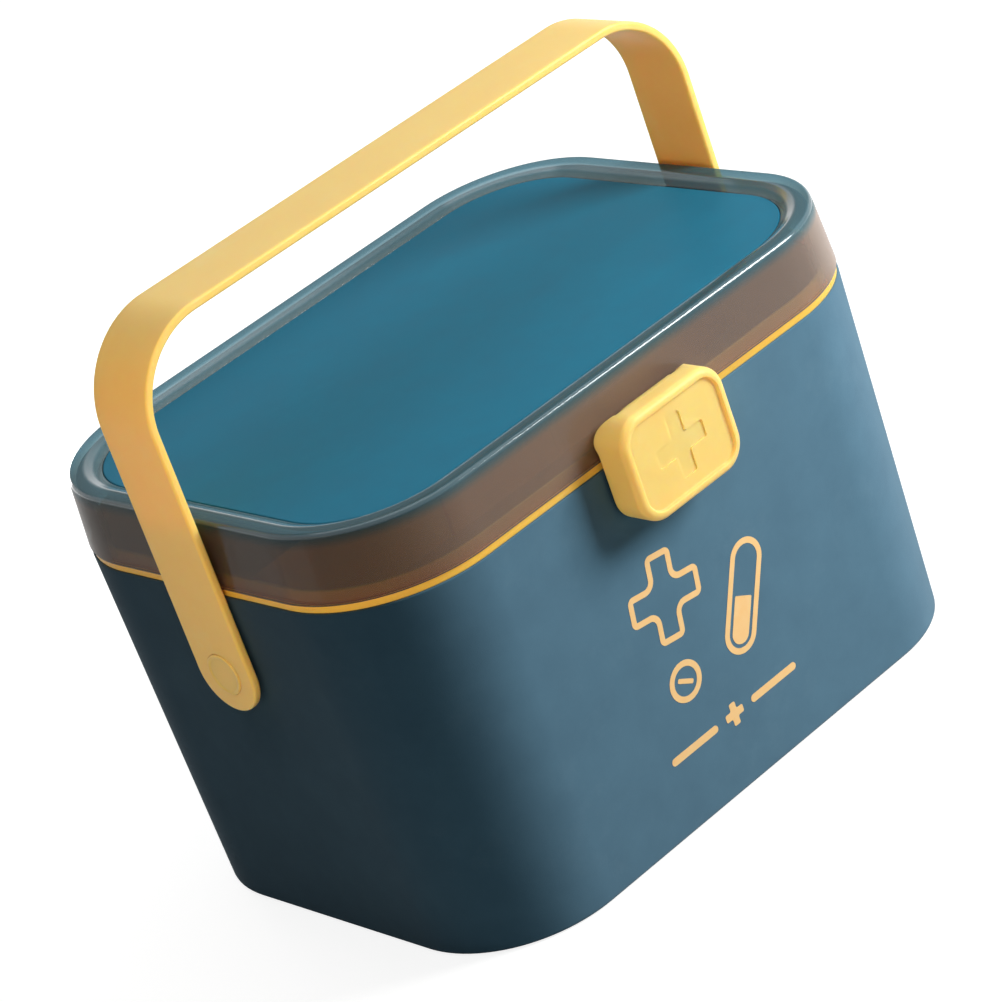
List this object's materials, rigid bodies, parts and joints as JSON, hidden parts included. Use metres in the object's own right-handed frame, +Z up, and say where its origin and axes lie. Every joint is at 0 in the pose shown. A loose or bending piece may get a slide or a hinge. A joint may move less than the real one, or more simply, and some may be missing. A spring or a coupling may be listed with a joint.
{
  "type": "first aid box",
  "caption": "Rounded plastic first aid box with a lift-out tray, a hinged see-through lid with a solid top panel, a front latch and a swinging band handle.",
  "frame": {"origin": "middle of the base, on the surface that the box stands on", "axes": "+X to the right along the long side, +Y to the rear where the hinges are, +Z up"},
  "size_m": [0.2696, 0.2185, 0.2398],
  "materials": {
    "tub_blue": "fine satin moulded polypropylene",
    "tray_yellow": "satin moulded polypropylene",
    "lid_smoke": "smoky see-through plastic, glossy",
    "panel_blue": "satin",
    "pin_steel": "drawn wire",
    "latch_yellow": "satin",
    "handle_yellow": "satin"
  },
  "bodies": {
    "box": {"tub": "tub_blue", "tray": "tray_yellow", "hinge_pin_left": "pin_steel", "hinge_pin_right": "pin_steel"},
    "lid": {"lid_shell": "lid_smoke", "lid_panel": "panel_blue", "latch_pin": "pin_steel"},
    "latch": {"latch": "latch_yellow"},
    "handle": {"handle": "handle_yellow", "handle_stud_left": "handle_yellow", "handle_stud_right": "handle_yellow"}
  },
  "joints": [
    {"name": "lid_hinge", "type": "hinge", "parent": "box", "child": "lid", "pos_m": [0, 0.1025, 0.1436], "axis": [-1, 0, 0], "range_deg": [0, 19]},
    {"name": "latch_swing", "type": "hinge", "parent": "lid", "child": "latch", "pos_m": [0, -0.104, 0.152], "axis": [-1, 0, 0], "range_deg": [0, 75]},
    {"name": "handle_swing", "type": "hinge", "parent": "box", "child": "handle", "pos_m": [0, 0, 0.1103], "axis": [1, 0, 0], "range_deg": [-120, 120]}
  ]
}
